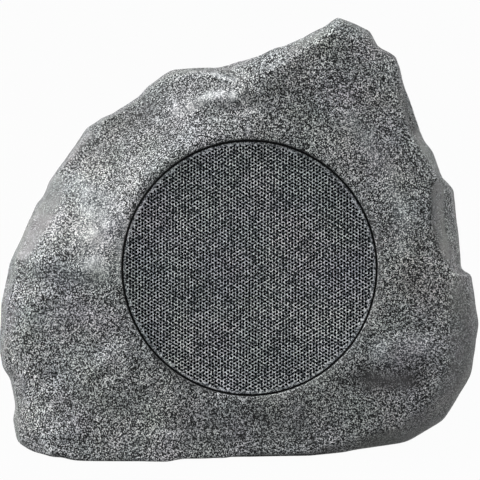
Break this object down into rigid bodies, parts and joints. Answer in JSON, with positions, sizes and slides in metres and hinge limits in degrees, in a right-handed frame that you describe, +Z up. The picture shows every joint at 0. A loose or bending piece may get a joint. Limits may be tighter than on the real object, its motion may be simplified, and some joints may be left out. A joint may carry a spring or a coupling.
{
  "type": "rock shaped garden speaker",
  "caption": "Outdoor loudspeaker hidden in a hollow granite-coloured stone, with a round perforated grille in its leaning face and a screwed base with rubber feet.",
  "frame": {"origin": "centre of the footprint's box, on the ground under the rubber feet", "axes": "+Z up, -Y towards the front (the grille side), +X to the right seen from the front"},
  "size_m": [0.353, 0.2842, 0.3081],
  "materials": {
    "granite_resin": "moulded resin stone, granite speckle paint",
    "granite_steel": "perforated steel, granite speckle paint",
    "black_rubber": "moulded",
    "black_cloth": "open weave",
    "base_plastic": "moulded, fine texture",
    "screw_steel": "zinc plated",
    "basket_paint": "satin black",
    "cone_plastic": "satin",
    "coil_wire": "enamelled copper",
    "spider_cloth": "impregnated weave",
    "motor_steel": "zinc plated",
    "ferrite": "ground",
    "phenolic": "laminate",
    "tag_brass": "tinned",
    "wadding": "needled fibre"
  },
  "bodies": {
    "enclosure": {"rock_shell": "granite_resin", "grille": "granite_steel", "grille_seal": "black_rubber", "grille_scrim": "black_cloth", "base_plate": "base_plastic", "base_gasket": "black_rubber", "base_screws": "screw_steel", "foot_front_left": "black_rubber", "foot_front_right": "black_rubber", "foot_rear_left": "black_rubber", "foot_rear_right": "black_rubber", "cable_grommet": "black_rubber", "driver_gasket": "black_rubber", "driver_basket": "basket_paint", "driver_screws": "screw_steel", "driver_surround": "black_rubber", "spider": "spider_cloth", "top_plate": "motor_steel", "magnet": "ferrite", "back_plate": "motor_steel", "terminal_strip": "phenolic", "terminal_tags": "tag_brass", "damping_pad": "wadding"},
    "diaphragm": {"driver_cone": "cone_plastic", "dust_cap": "cone_plastic", "voice_coil": "coil_wire"}
  },
  "joints": [
    {"name": "diaphragm_stroke", "type": "slide", "parent": "enclosure", "child": "diaphragm", "axis": [0, -0.9848, 0.1736], "range_m": [-0.004, 0.004], "stiffness_N_per_m": 1500, "deforming": ["driver_surround", "spider"]}
  ]
}
